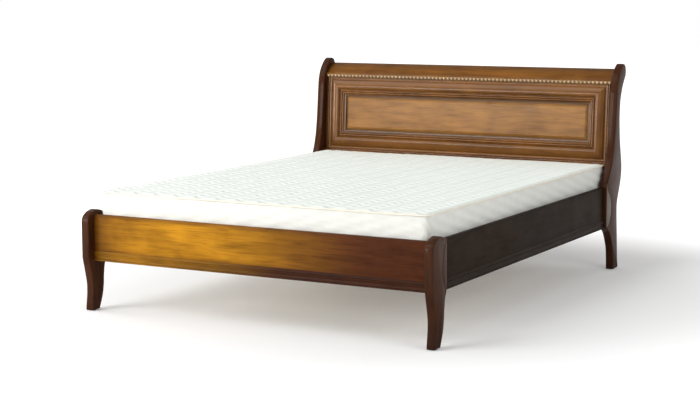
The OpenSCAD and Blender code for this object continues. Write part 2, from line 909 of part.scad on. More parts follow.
color(wood) frame_moulding("bottom");  // frame_moulding_bottom
color(wood) frame_moulding("left");  // frame_moulding_left
color(wood) frame_moulding("right");  // frame_moulding_right
color(wood) panel_bead("top");  // panel_bead_top
color(wood) panel_bead("bottom");  // panel_bead_bottom
color(wood) panel_bead("left");  // panel_bead_left
color(wood) panel_bead("right");  // panel_bead_right
color(wood) edge_bead(-1);  // edge_bead_left
color(wood) edge_bead(1);  // edge_bead_right
color(wood) bead_course();
color(wood) crest_rail();
color(pine) stile_dowels();
color(pine) ledger(-1);  // ledger_left
color(pine) ledger(1);  // ledger_right
color(pine) centre_beam();
color(steel) beam_socket(beam_y0, 1);  // beam_socket_foot
color(steel) beam_socket(board_y, -1);  // beam_socket_head
color(dark_wood) centre_leg(leg_ys[0]);  // centre_leg_front
color(dark_wood) centre_leg(leg_ys[1]);  // centre_leg_rear
color(steel) leg_plates();
color(pine) slats();
color(cream) slat_tapes();
color(steel) hook_plates();
color(steel) slot_plates();
color(steel) bracket_screws();
color(steel) ledger_screws();
color(plastic) glides();
color(quilt) mattress_core();
color(quilt) mattress_top_panel();
color(quilt) mattress_bottom_panel();
color(quilt) mattress_border();
color(cream) mattress_piping_top();
color(cream) mattress_piping_bottom();
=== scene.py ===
"""Sleigh bed: a stained walnut frame round a slatted base, with a quilted mattress.

Everything is in metres: +X across the bed, +Y towards the headboard, +Z up.
"""
import math

import bmesh
import bpy
from bpy.props import FloatProperty, FloatVectorProperty, PointerProperty
from mathutils import Euler, Matrix, Vector, noise


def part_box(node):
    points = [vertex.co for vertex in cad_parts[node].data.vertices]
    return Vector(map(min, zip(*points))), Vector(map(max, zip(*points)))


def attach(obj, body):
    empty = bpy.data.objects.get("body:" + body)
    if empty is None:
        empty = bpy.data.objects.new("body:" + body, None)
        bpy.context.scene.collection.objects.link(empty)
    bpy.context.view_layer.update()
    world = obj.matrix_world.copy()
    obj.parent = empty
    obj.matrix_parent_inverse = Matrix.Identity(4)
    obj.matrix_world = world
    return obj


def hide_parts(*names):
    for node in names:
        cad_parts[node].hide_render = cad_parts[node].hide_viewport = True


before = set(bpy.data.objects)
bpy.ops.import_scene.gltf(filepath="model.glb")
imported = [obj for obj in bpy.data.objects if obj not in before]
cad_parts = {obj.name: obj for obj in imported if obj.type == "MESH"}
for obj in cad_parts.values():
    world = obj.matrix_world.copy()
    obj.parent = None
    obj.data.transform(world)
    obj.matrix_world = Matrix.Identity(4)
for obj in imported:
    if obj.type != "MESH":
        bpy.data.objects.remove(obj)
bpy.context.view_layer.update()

bl_info = {
    "name": "Sleigh bed",
    "version": (1, 0, 0),
    "blender": (4, 5, 0),
    "location": "View3D > Sidebar > Bed",
    "description": "Models and finishes a sleigh bed with a quilted mattress",
    "category": "Add Mesh",
}

SIDES = {"left": -1, "right": 1}

LEAN = math.radians(3.5)  # how far the headboard leans back
FACE_POINT = (0.0, 0.9865, 0.530)  # a point on the headboard's leaning boards

NEAR = 0.0001  # places closer than this count as the same
WELD = 0.00001  # points closer than this are merged

# The camera, with its angles in degrees and its lens in millimetres.
CAMERA_PLACE = (3.51464, -6.59829, 1.41533)
CAMERA_PITCH = -7.637
CAMERA_YAW = 28.842
CAMERA_ROLL = -0.207
CAMERA_LENS = 82.712
SENSOR = 36.0

KEY_PLACE = (-2.4, -2.6, 3.4)  # the key light shines from here towards the origin
KEY_SPREAD = 38  # in degrees: the wider, the softer its shadows
LAMPS = {  # each lamp's place, what it points at, and its width and height
    "fill_lamp": ((-2.3, -4.4, 1.3), (0.0, 1.0, 0.7), (2.6, 1.0)),
    "right_lamp": ((4.6, -1.8, 2.2), (0.8, -0.2, 0.4), (2.4, 1.6)),
    "side_lamp": ((-4.8, -0.7, 1.1), (0.2, 1.0, 0.75), (2.2, 1.6)),
}
FLOOR_SIZE = 60
FLOOR_GREY = 0.88
GLOW_FROM, GLOW_TO = 1.4, 2.8  # the floor's glow rises between these distances
GLOW_RISE = 0.5

SLAT_EASE = 0.002
LEG_EASE = 0.003
INNER_EASE = 0.003  # rounding of the rails' edges beside the mattress
FIELD_EASE = 0.0006
FIELD_WELD = 0.00002

STRIP_PROUD = 0.001  # how far the strip stands in front of the beads' middles
STRIP_ROUND = 0.0015
BEAD_MARGIN = 0.002  # room between the last bead and the end of the strip
BEAD_RAISE = 0.0005

CORNER = 0.026  # radius of the mattress's upright corners
CORNER_STEPS = 8
QUILT_CORNER = 0.028
QUILT_GRID = (190, 236)
QUILT_EDGE = 0.022  # width of the rolled edge of a quilted panel
QUILT_ROLL = 0.009
QUILT_UNEVEN = 0.0018
QUILT_THICK = 0.013
BORDER_INSET = 0.004
BORDER_ROWS = 9
BORDER_CUTS = ((0, 480), (1, 610))  # cuts across the border's long edges, by axis
BORDER_SWELL = 0.0038
BORDER_UNEVEN = 0.0012
RIB_SLANT = 0.35
PIPING_CUTS = 90
PIPING_UNEVEN = 0.0016
PIPING_SPARE = 0.0006


def colour(name, default, description):
    """A colour that a user can change."""
    return FloatVectorProperty(
        name=name, description=description, default=default,
        subtype="COLOR", size=3, min=0.0, max=1.0)


def length(name, default, description):
    """A length that a user can change."""
    return FloatProperty(
        name=name, description=description, default=default,
        min=0.0, soft_max=0.2, unit="LENGTH", subtype="DISTANCE")


# ---- settings ------------------------------------------------------------------------------


class BedSizes(bpy.types.PropertyGroup):
    """Sizes of the worked edges and of the soft goods."""
    post_round: length("Post rounding", 0.0055, "Rounding along the outlines of the posts")
    pad_round: length("Pad rounding", 0.0016, "Easing along the seam between post and pad")
    rail_round: length("Rail rounding", 0.007, "Rounding of the rails' upper outer edge")
    bead_radius: length("Bead radius", 0.0072, "Radius of one bead under the crest")
    bead_pitch: length("Bead pitch", 0.0216, "Distance from bead to bead")
    quilt_row: length("Quilt row", 0.052, "Distance between the rows of quilting")
    quilt_wave: length("Quilt wave", 0.105, "Length of one wave of the quilting stitch")
    quilt_depth: length("Quilt depth", 0.009, "How far the stitches pull the quilting down")
    rib_pitch: length("Border rib", 0.017, "Distance between the ribs of the border")
    rib_depth: length("Border rib depth", 0.0034, "Depth of the ribs of the border")
    piping_radius: length("Piping radius", 0.0042, "Radius of the piping cord")


class BedColours(bpy.types.PropertyGroup):
    """Colours of the finishes."""
    # Gold and dark red are partly the stain's own tones and partly painted light: the foot rail is painted
    # lighter where the light falls at the left and darker towards the right end.
    walnut_gold_lit: colour("Walnut, gold", (0.50, 0.222, 0.010), "Stain of the foot rail")
    walnut_red_shaded: colour("Walnut, red", (0.072, 0.020, 0.006), "Darker stain towards the posts")
    walnut_panel: colour("Walnut, panel", (0.285, 0.128, 0.026), "Stain of the raised panel")
    walnut_moulding: colour("Walnut, mouldings", (0.175, 0.068, 0.012), "Stain of the mouldings")
    # The beads' pale colour is their stain with a painted highlight in it.
    walnut_bead_highlight: colour("Walnut, beads", (0.50, 0.32, 0.16), "Worn stain of the round beads")
    walnut_crest: colour("Walnut, crest", (0.200, 0.078, 0.012), "Stain of the crest rail")
    walnut_post: colour("Walnut, posts", (0.050, 0.0165, 0.0055), "Stain of the posts and pads")
    walnut_side: colour("Walnut, side rails", (0.019, 0.0105, 0.0050), "Stain of the side rails")
    ticking: colour("Ticking", (0.90, 0.955, 0.89), "Quilted cloth of the mattress")
    border: colour("Border", (0.84, 0.845, 0.79), "Ribbed cloth of the mattress border")
    piping: colour("Piping", (0.88, 0.83, 0.71), "Cord sewn along the edges of the mattress")
    pine: colour("Pine", (0.66, 0.44, 0.22), "Bare softwood of the base")
    steel: colour("Steel", (0.62, 0.63, 0.64), "Zinc-plated fittings")
    webbing: colour("Webbing", (0.62, 0.60, 0.54), "Tapes that space the slats")
    plastic: colour("Plastic", (0.02, 0.02, 0.02), "Glides under the feet")
    foam: colour("Foam", (0.78, 0.70, 0.46), "Core of the mattress")


class BedStage(bpy.types.PropertyGroup):
    """Light levels of the stage."""
    key_power: FloatProperty(
        name="Key light", description="Strength of the soft light from the upper left",
        default=1.0, min=0.0)
    fill_power: FloatProperty(
        name="Fill lamp", description="Power of the large lamp over the foot of the bed",
        default=100.0, min=0.0, unit="POWER")
    side_power: FloatProperty(
        name="Side lamp", description="Power of the lamp at the left of the bed",
        default=120.0, min=0.0, unit="POWER")
    right_power: FloatProperty(
        name="Right lamp", description="Power of the lamp at the right of the bed",
        default=52.0, min=0.0, unit="POWER")
    sky: FloatProperty(
        name="Sky", description="Strength of the light from all round",
        default=0.46, min=0.0, soft_max=2.0)
    floor_glow: FloatProperty(
        name="Floor glow", description="White added to the floor as the camera sees it",
        default=0.13, min=0.0, soft_max=1.0)


def sizes():
    return bpy.context.scene.bed_sizes


def colours():
    return bpy.context.scene.bed_colours


# ---- selecting and shaping -----------------------------------------------------------------


def only(obj):
    """Makes obj the one selected and active object."""
    if bpy.context.object and bpy.context.object.mode != "OBJECT":
        bpy.ops.object.mode_set(mode="OBJECT")
    bpy.ops.object.select_all(action="DESELECT")
    obj.select_set(True)
    bpy.context.view_layer.objects.active = obj


def edit(obj, kind="FACE"):
    """Goes into edit mode on obj with nothing selected."""
    only(obj)
    bpy.ops.object.mode_set(mode="EDIT")
    bpy.ops.mesh.select_mode(type=kind)
    bpy.ops.mesh.select_all(action="DESELECT")


def done():
    """Leaves edit mode."""
    bpy.ops.object.mode_set(mode="OBJECT")


def pick(obj, kind, test):
    """Selects the faces, edges or vertices of obj that pass test, from inside edit mode."""
    work = bmesh.from_edit_mesh(obj.data)
    chosen = 0
    for item in {"FACE": work.faces, "EDGE": work.edges, "VERT": work.verts}[kind]:
        hit = bool(test(item))
        item.select_set(hit)
        chosen += hit
    work.select_flush_mode()
    bmesh.update_edit_mesh(obj.data)
    if not chosen:
        raise RuntimeError("nothing to work on in " + obj.name)


def middle(edge):
    """The middle of an edge."""
    return (edge.verts[0].co + edge.verts[1].co) / 2


def node_copy(node, name):
    """A merged copy of a CAD node's mesh, with its flat faces made whole."""
    obj = bpy.data.objects.new(name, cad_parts[node].data.copy())
    obj.data.materials.clear()
    bpy.context.scene.collection.objects.link(obj)
    edit(obj)
    bpy.ops.mesh.select_all(action="SELECT")
    bpy.ops.mesh.remove_doubles(threshold=WELD)
    bpy.ops.mesh.dissolve_limited(angle_limit=math.radians(0.3))
    done()
    return obj


def block(name, lo, hi):
    """A cube primitive from lo to hi, its place in its mesh."""
    bpy.ops.object.select_all(action="DESELECT")
    bpy.ops.mesh.primitive_cube_add(size=1, location=(Vector(lo) + Vector(hi)) / 2)
    obj = bpy.context.object
    obj.name = name
    obj.scale = Vector(hi) - Vector(lo)
    bpy.ops.object.transform_apply(location=True, rotation=True, scale=True)
    return obj


def face_outward(obj, weld=0.0):
    """Turns all of obj's faces outwards, after merging the points closer than weld."""
    edit(obj)
    bpy.ops.mesh.select_all(action="SELECT")
    if weld:
        bpy.ops.mesh.remove_doubles(threshold=weld)
    bpy.ops.mesh.normals_make_consistent(inside=False)
    done()


def bevel_edges(obj, test, width, segments):
    """Rounds the edges of obj that pass test."""
    edit(obj, "EDGE")
    pick(obj, "EDGE", test)
    bpy.ops.mesh.bevel(offset=width, segments=segments, affect="EDGES", clamp_overlap=True)
    done()


def ease(obj, width, angle=35):
    """Rounds the edges of obj that are sharper than angle with a modifier, and applies it."""
    only(obj)
    bevel = obj.modifiers.new("ease", "BEVEL")
    bevel.width = width
    bevel.segments = 2
    bevel.limit_method = "ANGLE"
    bevel.angle_limit = math.radians(angle)
    bevel.use_clamp_overlap = True
    bpy.ops.object.modifier_apply(modifier=bevel.name)


def smooth(obj, angle=32):
    """Shades obj smooth across the edges flatter than angle."""
    only(obj)
    bpy.ops.object.shade_smooth_by_angle(angle=math.radians(angle))


def settle(obj, body, finish, slot, *nodes):
    """Gives a finished piece its material and body, and hides the nodes that it stands for; slot is not
    used.
    """
    obj.data.materials.clear()
    obj.data.materials.append(finish)
    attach(obj, body)
    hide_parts(*nodes)


def cover(node, finish):
    """Gives a carried-over CAD node its finish."""
    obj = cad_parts[node]
    if not obj.material_slots:
        obj.data.materials.append(finish)
    for place in obj.material_slots:
        place.material = finish


# ---- finishes ------------------------------------------------------------------------------


def fresh(name):
    """An empty node material with its surface shader: (tree, shader)."""
    material = bpy.data.materials.new(name)
    material.use_nodes = True
    tree = material.node_tree
    tree.nodes.clear()
    shader = tree.nodes.new("ShaderNodeBsdfPrincipled")
    out = tree.nodes.new("ShaderNodeOutputMaterial")
    tree.links.new(shader.outputs[0], out.inputs[0])
    return material, tree, shader


def add(tree, kind, inputs=None, **settings):
    """A node with its settings, and each input a value or a socket to link."""
    node = tree.nodes.new(kind)
    for key, value in settings.items():
        setattr(node, key, value)
    for key, value in (inputs or {}).items():
        if isinstance(value, bpy.types.NodeSocket):
            tree.links.new(value, node.inputs[key])
        else:
            node.inputs[key].default_value = value
    return node


def math_node(tree, operation, first, second=0.0):
    """The result of one sum on values or sockets."""
    return add(tree, "ShaderNodeMath", {0: first, 1: second}, operation=operation).outputs[0]


def rgba(value):
    """A colour of three channels made opaque, and anything else as it is."""
    if isinstance(value, (tuple, list)) and len(value) == 3:
        return tuple(value) + (1.0,)
    return value


def blend_colour(tree, factor, first, second, mode="MIX"):
    """first with second laid over it by factor."""
    node = add(tree, "ShaderNodeMix", {0: factor, 6: rgba(first), 7: rgba(second)},
               data_type="RGBA", blend_type=mode)
    return node.outputs[2]


def ramp(tree, factor, stops):
    """A colour ramp through (place, colour) stops."""
    node = add(tree, "ShaderNodeValToRGB", {0: factor})
    marks = node.color_ramp.elements
    while len(marks) < len(stops):
        marks.new(0.5)
    for mark, (place, value) in zip(marks, stops):
        mark.position = place
        mark.color = rgba(value)
    return node.outputs[0]


def grade(tree, value, low, high, out_low=0.0, out_high=1.0, easing="SMOOTHSTEP"):
    """value mapped from low..high to out_low..out_high, clamped."""
    node = add(tree, "ShaderNodeMapRange",
               {0: value, 1: low, 2: high, 3: out_low, 4: out_high},
               interpolation_type=easing)
    return node.outputs[0]


def placed(tree, scale, move=(0.0, 0.0, 0.0)):
    """Object coordinates through a mapping, for a pattern of that scale per axis."""
    where = add(tree, "ShaderNodeTexCoord")
    node = add(tree, "ShaderNodeMapping",
               {"Vector": where.outputs["Object"], "Scale": scale, "Location": move})
    return node.outputs[0]


def speckle(tree, vector, detail=4.0, distort=0.0):
    """Soft noise at the scale that vector already has."""
    node = add(tree, "ShaderNodeTexNoise",
               {"Vector": vector, "Scale": 1.0, "Detail": detail,
                "Roughness": 0.5, "Distortion": distort})
    return node.outputs[0]


def shade_of(value, factor):
    """A colour made darker or lighter by factor."""
    return tuple(channel * factor for channel in value)


def mixed(first, second, part):
    """The colour that lies part of the way from first to second."""
    return tuple(a + (b - a) * part for a, b in zip(first, second))


def stained_walnut(name, grain, stain, edge=None, fades=(), depth=None, gloss=0.38,
                   gleam=0.06, coat=0.02, move=0.0, figured=0.4, relief=0.05):
    """Stained and lacquered walnut with its grain along axis 0, 1 or 2.

    Each fade is (axis, start, end, strength): the stain turns to the edge colour along that
    axis, counted from the middle for axes 3 to 5. depth is (dark, clear, strength): painted
    shade darkens what lies nearer than clear to the headboard's boards, in the recesses.
    figured is how dark the pores are, and relief how much they show in the lacquer.
    """
    stain = tuple(stain)
    edge = tuple(edge) if edge else shade_of(stain, 0.32)
    material, tree, shader = fresh(name)
    along = [1.0, 1.0, 1.0]
    along[grain] = 0.11
    offset = (move, move * 0.7, move * 1.3)
    stripes = placed(tree, [30.0 * a for a in along], move=offset)
    figure = speckle(tree, stripes, detail=3.5, distort=0.6)
    along[grain] = 0.045
    fine = placed(tree, [230.0 * a for a in along], move=offset)
    pores = speckle(tree, fine, detail=1.0)
    cloud = speckle(tree, placed(tree, (6.0, 6.0, 6.0), move=offset), detail=4.0, distort=0.4)
    where = add(tree, "ShaderNodeTexCoord").outputs["Object"]
    axes = add(tree, "ShaderNodeSeparateXYZ", {0: where})
    wood = stain + (1.0,)
    for axis, start, end, strength in fades:
        value = axes.outputs[axis % 3]
        if axis > 2:
            value = math_node(tree, "ABSOLUTE", value)
        rough_edge = math_node(tree, "MULTIPLY", cloud, 0.25 * abs(end - start))
        value = math_node(tree, "ADD", value, rough_edge)
        amount = math_node(tree, "MULTIPLY", grade(tree, value, start, end), strength)
        wood = blend_colour(tree, amount, wood, edge)
    # Each pattern's share and source, and its stops: the place, the red, and the green and blue.
    patterns = ((1.0, figure, ((0.30, 0.72, 0.70), (0.47, 0.95, 0.94),
                               (0.60, 1.14, 1.14), (0.74, 0.97, 0.96))),
                (0.8, cloud, ((0.32, 0.72, 0.68), (0.52, 1.0, 1.0), (0.72, 1.16, 1.13))),
                (figured, pores, ((0.34, 0.45, 0.38), (0.46, 1.0, 1.0))))
    for amount, source, stops in patterns:
        shade = ramp(tree, source, [(place, (red, green, green)) for place, red, green in stops])
        wood = blend_colour(tree, amount, wood, shade, "MULTIPLY")
    # Painted shade: the stain darkens in the recesses that lie back near the headboard's boards.
    if depth:
        dark, clear, strength = depth
        from_face = add(tree, "ShaderNodeVectorMath", {0: where, 1: FACE_POINT}, operation="SUBTRACT")
        height = add(tree, "ShaderNodeVectorMath",
                     {0: from_face.outputs[0], 1: (0.0, -math.cos(LEAN), math.sin(LEAN))},
                     operation="DOT_PRODUCT").outputs["Value"]
        amount = math_node(tree, "MULTIPLY", grade(tree, height, clear, dark), strength)
        wood = blend_colour(tree, amount, wood, shade_of(stain, 0.12))
    tree.links.new(wood, shader.inputs["Base Color"])
    smear = speckle(tree, placed(tree, (9.0, 9.0, 9.0)), detail=3.0)
    tree.links.new(grade(tree, smear, 0.3, 0.7, gloss - 0.04, gloss + 0.06, "LINEAR"),
                   shader.inputs["Roughness"])
    shader.inputs["Specular IOR Level"].default_value = gleam
    shader.inputs["Coat Weight"].default_value = coat
    shader.inputs["Coat Roughness"].default_value = 0.12
    shader.inputs["Coat IOR"].default_value = 1.5
    bump = add(tree, "ShaderNodeBump", {"Height": pores, "Strength": relief, "Distance": 0.0002})
    tree.links.new(bump.outputs[0], shader.inputs["Normal"])
    return material


def bare_pine():
    """Planed softwood with faint growth rings and a few darker patches."""
    shades = tuple(colours().pine)
    material, tree, shader = fresh("bare_pine")
    rings = speckle(tree, placed(tree, (3.0, 55.0, 55.0)), detail=5.0, distort=1.2)
    patch = speckle(tree, placed(tree, (3.5, 3.5, 3.5)), detail=2.0)
    wood = ramp(tree, rings, [(0.35, shade_of(shades, 0.72)), (0.55, shades),
                              (0.7, mixed(shades, (0.9, 0.74, 0.5), 0.5))])
    wood = blend_colour(tree, 0.35, wood, ramp(tree, patch, [(0.35, (0.78, 0.72, 0.64)),
                                                             (0.65, (1.0, 1.0, 1.0))]), "MULTIPLY")
    tree.links.new(wood, shader.inputs["Base Color"])
    tree.links.new(grade(tree, rings, 0.3, 0.7, 0.52, 0.68), shader.inputs["Roughness"])
    bump = add(tree, "ShaderNodeBump", {"Height": rings, "Strength": 0.15, "Distance": 0.0005})
    tree.links.new(bump.outputs[0], shader.inputs["Normal"])
    return material


def plated_steel():
    """Zinc plating with a fine crystalline mottle."""
    shades = tuple(colours().steel)
    material, tree, shader = fresh("zinc_steel")
    mottle = speckle(tree, placed(tree, (160.0, 160.0, 160.0)), detail=4.0)
    tree.links.new(ramp(tree, mottle, [(0.3, shade_of(shades, 0.78)), (0.7, shades)]),
                   shader.inputs["Base Color"])
    tree.links.new(grade(tree, mottle, 0.3, 0.7, 0.26, 0.42), shader.inputs["Roughness"])
    shader.inputs["Metallic"].default_value = 1.0
    bump = add(tree, "ShaderNodeBump", {"Height": mottle, "Strength": 0.08, "Distance": 0.0002})
    tree.links.new(bump.outputs[0], shader.inputs["Normal"])
    return material


def woven(name, shades, threads, sheen=0.2, cloudy=0.12, seam_shade=0.0):
    """Plain woven cloth: warp and weft threads, soft unevenness and a low sheen.

    threads is the count to the metre, and cloudy is how uneven the colour is. The last is how
    much painted shade darkens the cloth where the piece's own hollow attribute is 1.
    """
    material, tree, shader = fresh(name)
    where = add(tree, "ShaderNodeSeparateXYZ", {0: placed(tree, (1.0, 1.0, 1.0))})
    turn = 2 * math.pi * threads
    waves = [math_node(tree, "SINE", math_node(tree, "MULTIPLY", where.outputs[axis], turn))
             for axis in range(3)]
    weave = math_node(tree, "MULTIPLY", math_node(tree, "MULTIPLY", waves[0], waves[1]), 0.5)
    weave = math_node(tree, "ADD", weave, math_node(tree, "MULTIPLY", waves[2], 0.3))
    lumps = speckle(tree, placed(tree, (26.0, 26.0, 26.0)), detail=4.0)
    cloth = ramp(tree, lumps, [(0.3, shade_of(shades, 1.0 - cloudy)), (0.62, shades)])
    cloth = blend_colour(tree, grade(tree, weave, -0.6, 0.6, 0.0, 0.10), cloth,
                         shade_of(shades, 0.72))
    # Painted shade in the stitch valleys and the hollows between the ribs.
    if seam_shade:
        hollow = add(tree, "ShaderNodeAttribute", attribute_name="hollow").outputs["Fac"]
        cloth = blend_colour(tree, math_node(tree, "MULTIPLY", hollow, seam_shade), cloth,
                             shade_of(shades, 0.45))
    tree.links.new(cloth, shader.inputs["Base Color"])
    shader.inputs["Sheen Weight"].default_value = sheen
    shader.inputs["Sheen Roughness"].default_value = 0.5
    tree.links.new(grade(tree, lumps, 0.3, 0.7, 0.82, 0.92), shader.inputs["Roughness"])
    height = math_node(tree, "ADD", math_node(tree, "MULTIPLY", weave, 0.35), lumps)
    bump = add(tree, "ShaderNodeBump", {"Height": height, "Strength": 0.25, "Distance": 0.0004})
    tree.links.new(bump.outputs[0], shader.inputs["Normal"])
    return material


def grained_plastic():
    """Moulded plastic with a spark-eroded grain."""
    shades = tuple(colours().plastic)
    material, tree, shader = fresh("glide_plastic")
    grain = speckle(tree, placed(tree, (900.0, 900.0, 900.0)), detail=3.0)
    tree.links.new(ramp(tree, grain, [(0.3, shades), (0.8, mixed(shades, (0.1, 0.1, 0.1), 0.5))]),
                   shader.inputs["Base Color"])
    tree.links.new(grade(tree, grain, 0.3, 0.7, 0.42, 0.58), shader.inputs["Roughness"])
    bump = add(tree, "ShaderNodeBump", {"Height": grain, "Strength": 0.2, "Distance": 0.0001})
    tree.links.new(bump.outputs[0], shader.inputs["Normal"])
    return material


def open_foam():
    """Cut foam, pitted with small open cells."""
    shades = tuple(colours().foam)
    material, tree, shader = fresh("mattress_foam")
    cells = add(tree, "ShaderNodeTexVoronoi",
                {"Vector": placed(tree, (420.0, 420.0, 420.0)), "Scale": 1.0}).outputs[0]
    tree.links.new(ramp(tree, cells, [(0.1, shade_of(shades, 0.7)), (0.5, shades)]),
                   shader.inputs["Base Color"])
    tree.links.new(grade(tree, cells, 0.0, 0.7, 0.95, 0.85), shader.inputs["Roughness"])
    bump = add(tree, "ShaderNodeBump", {"Height": cells, "Strength": 0.4, "Distance": 0.0006})
    tree.links.new(bump.outputs[0], shader.inputs["Normal"])
    return material


# ---- operators -----------------------------------------------------------------------------


class BED_OT_stage(bpy.types.Operator):
    """Sets up the camera, the floor, the lamps and the plain background"""
    bl_idname = "bed.stage"
    bl_label = "Stage"
    bl_options = {"REGISTER", "UNDO"}

    def execute(self, context):
        scene = context.scene
        levels = scene.bed_stage
        place_camera(scene)
        scene.view_settings.view_transform = "Standard"
        white_world(scene, levels.sky)
        pale_floor(levels.floor_glow)
        sunlight("key_light", KEY_PLACE, levels.key_power)
        softbox("fill_lamp", levels.fill_power)
        softbox("right_lamp", levels.right_power)
        softbox("side_lamp", levels.side_power)
        return {"FINISHED"}


def place_camera(scene):
    """The camera, to the right of the foot of the bed."""
    data = bpy.data.cameras.new("camera")
    data.sensor_width = SENSOR
    data.lens = CAMERA_LENS
    camera = bpy.data.objects.new("camera", data)
    turn = Euler((math.radians(90 + CAMERA_PITCH), 0.0, math.radians(CAMERA_YAW))).to_matrix()
    turn = turn @ Matrix.Rotation(math.radians(CAMERA_ROLL), 3, "Z")
    camera.matrix_world = Matrix.Translation(CAMERA_PLACE) @ turn.to_4x4()
    scene.collection.objects.link(camera)
    scene.camera = camera


def looked_at(tree):
    """1 for what the camera sees, straight or in a gloss or through glass, and 0 for light."""
    path = add(tree, "ShaderNodeLightPath").outputs
    mirrored = math_node(tree, "MAXIMUM", path["Is Glossy Ray"], path["Is Transmission Ray"])
    return math_node(tree, "MAXIMUM", path["Is Camera Ray"], mirrored)


def white_world(scene, strength):
    """Even light from all round, plain white where it is looked at."""
    world = bpy.data.worlds.new("studio")
    scene.world = world
    world.use_nodes = True
    tree = world.node_tree
    tree.nodes.clear()
    lit = add(tree, "ShaderNodeMapRange",
              {0: looked_at(tree), 1: 0.0, 2: 1.0, 3: strength, 4: 1.0})
    back = add(tree, "ShaderNodeBackground", {"Color": (1.0, 1.0, 1.0, 1.0), "Strength": lit.outputs[0]})
    out = add(tree, "ShaderNodeOutputWorld")
    tree.links.new(back.outputs[0], out.inputs[0])


def pale_floor(glow):
    """A plain pale floor that keeps the bed's shadow and is white beyond it."""
    bpy.ops.object.select_all(action="DESELECT")
    bpy.ops.mesh.primitive_plane_add(size=FLOOR_SIZE, location=(0, 0, 0))
    floor = bpy.context.object
    floor.name = "studio_floor"
    material, tree, shader = fresh("studio_floor")
    shader.inputs["Base Color"].default_value = (FLOOR_GREY, FLOOR_GREY, FLOOR_GREY, 1.0)
    shader.inputs["Roughness"].default_value = 0.9
    shader.inputs["Specular IOR Level"].default_value = 0.1
    shader.inputs["Emission Color"].default_value = (1.0, 1.0, 1.0, 1.0)
    reach = add(tree, "ShaderNodeVectorMath",
                {0: add(tree, "ShaderNodeTexCoord").outputs["Object"]}, operation="LENGTH")
    level = grade(tree, reach.outputs["Value"], GLOW_FROM, GLOW_TO, glow, glow + GLOW_RISE)
    tree.links.new(math_node(tree, "MULTIPLY", looked_at(tree), level), shader.inputs["Emission Strength"])
    floor.data.materials.append(material)


def sunlight(name, place, strength):
    """A wide, soft sun that shines from place towards the origin."""
    data = bpy.data.lights.new(name, "SUN")
    data.energy = strength
    data.angle = math.radians(KEY_SPREAD)
    lamp = bpy.data.objects.new(name, data)
    lamp.rotation_euler = Vector(place).to_track_quat("Z", "Y").to_euler()
    bpy.context.scene.collection.objects.link(lamp)


def softbox(name, power):
    """One of the rectangular lamps."""
    place, target, size = LAMPS[name]
    data = bpy.data.lights.new(name, "AREA")
    data.shape = "RECTANGLE"
    data.size, data.size_y = size
    data.energy = power
    lamp = bpy.data.objects.new(name, data)
    lamp.location = place
    lamp.rotation_euler = (Vector(target) - Vector(place)).to_track_quat("-Z", "Y").to_euler()
    bpy.context.scene.collection.objects.link(lamp)


class BED_OT_finishes(bpy.types.Operator):
    """Gives the parts that are carried over from the frame their finishes"""
    bl_idname = "bed.finishes"
    bl_label = "Base and fittings"
    bl_options = {"REGISTER", "UNDO"}

    def execute(self, context):
        pine = bare_pine()
        steel = plated_steel()
        tape = woven("webbing", tuple(colours().webbing), 700, sheen=0.1)
        for node in ("ledger_left", "ledger_right", "stile_dowels"):
            cover(node, pine)
        for node in ("beam_socket_foot", "beam_socket_head", "leg_plates", "hook_plates",
                     "slot_plates", "bracket_screws", "ledger_screws"):
            cover(node, steel)
        cover("slat_tapes", tape)
        cover("glides", grained_plastic())
        cover("mattress_core", open_foam())
        shades = colours()
        across = stained_walnut("walnut_boards_across", 0, shades.walnut_moulding, move=3.1)
        # depth paints shade on the stiles where they lie back at the boards.
        upright = stained_walnut("walnut_boards_upright", 2, shades.walnut_moulding, move=4.7,
                                 depth=(-0.001, 0.0035, 0.2))
        for node in ("head_lower_board", "head_top_rail", "head_bottom_rail"):
            cover(node, across)
        for node in ("head_stile_left", "head_stile_right"):
            cover(node, upright)
        return {"FINISHED"}


class BED_OT_base(bpy.types.Operator):
    """Planes the slats and the centre beam, and shapes the centre legs"""
    bl_idname = "bed.base"
    bl_label = "Slatted base"
    bl_options = {"REGISTER", "UNDO"}

    def execute(self, context):
        pine = bpy.data.materials["bare_pine"]
        for node in ("slats", "centre_beam"):
            obj = node_copy(node, node + "_planed")
            ease(obj, SLAT_EASE)
            smooth(obj)
            settle(obj, "bed_frame", pine, "bare_pine", node)
        dark = stained_walnut("walnut_centre_legs", 2, colours().walnut_post, move=7.7)
        for node in ("centre_leg_front", "centre_leg_rear"):
            obj = node_copy(node, node + "_turned")
            ease(obj, LEG_EASE)
            smooth(obj)
            settle(obj, "bed_frame", dark, "dark_walnut", node)
        return {"FINISHED"}


def cut_to_outline(obj, side, thickness, face_x):
    """Keeps the flat outer side of obj as one face, and extrudes it to a solid again."""
    edit(obj)
    pick(obj, "FACE", lambda f: f.normal.x * side < 0.99
         or abs(f.calc_center_median().x * side - face_x) > 0.0003)
    bpy.ops.mesh.delete(type="FACE")
    bpy.ops.mesh.select_all(action="SELECT")
    bpy.ops.mesh.dissolve_faces()
    bpy.ops.mesh.select_all(action="SELECT")
    bpy.ops.mesh.extrude_region_move(
        TRANSFORM_OT_translate={"value": (-side * thickness, 0.0, 0.0)})
    bpy.ops.mesh.select_all(action="SELECT")
    bpy.ops.mesh.normals_make_consistent(inside=False)
    done()


def round_outline(obj, width, weight):
    """Rounds both outline edges of an upright piece; weight gives each place its share."""
    mesh = obj.data
    shares = mesh.attributes.new("bevel_weight_edge", "FLOAT", "EDGE")
    for edge in mesh.edges:
        a, b = (mesh.vertices[i].co for i in edge.vertices)
        if abs(a.x - b.x) < WELD:
            shares.data[edge.index].value = weight((a + b) / 2)
    only(obj)
    bevel = obj.modifiers.new("outline", "BEVEL")
    bevel.width = width
    bevel.segments = 4
    bevel.limit_method = "WEIGHT"
    bevel.use_clamp_overlap = False
    bpy.ops.object.modifier_apply(modifier=bevel.name)


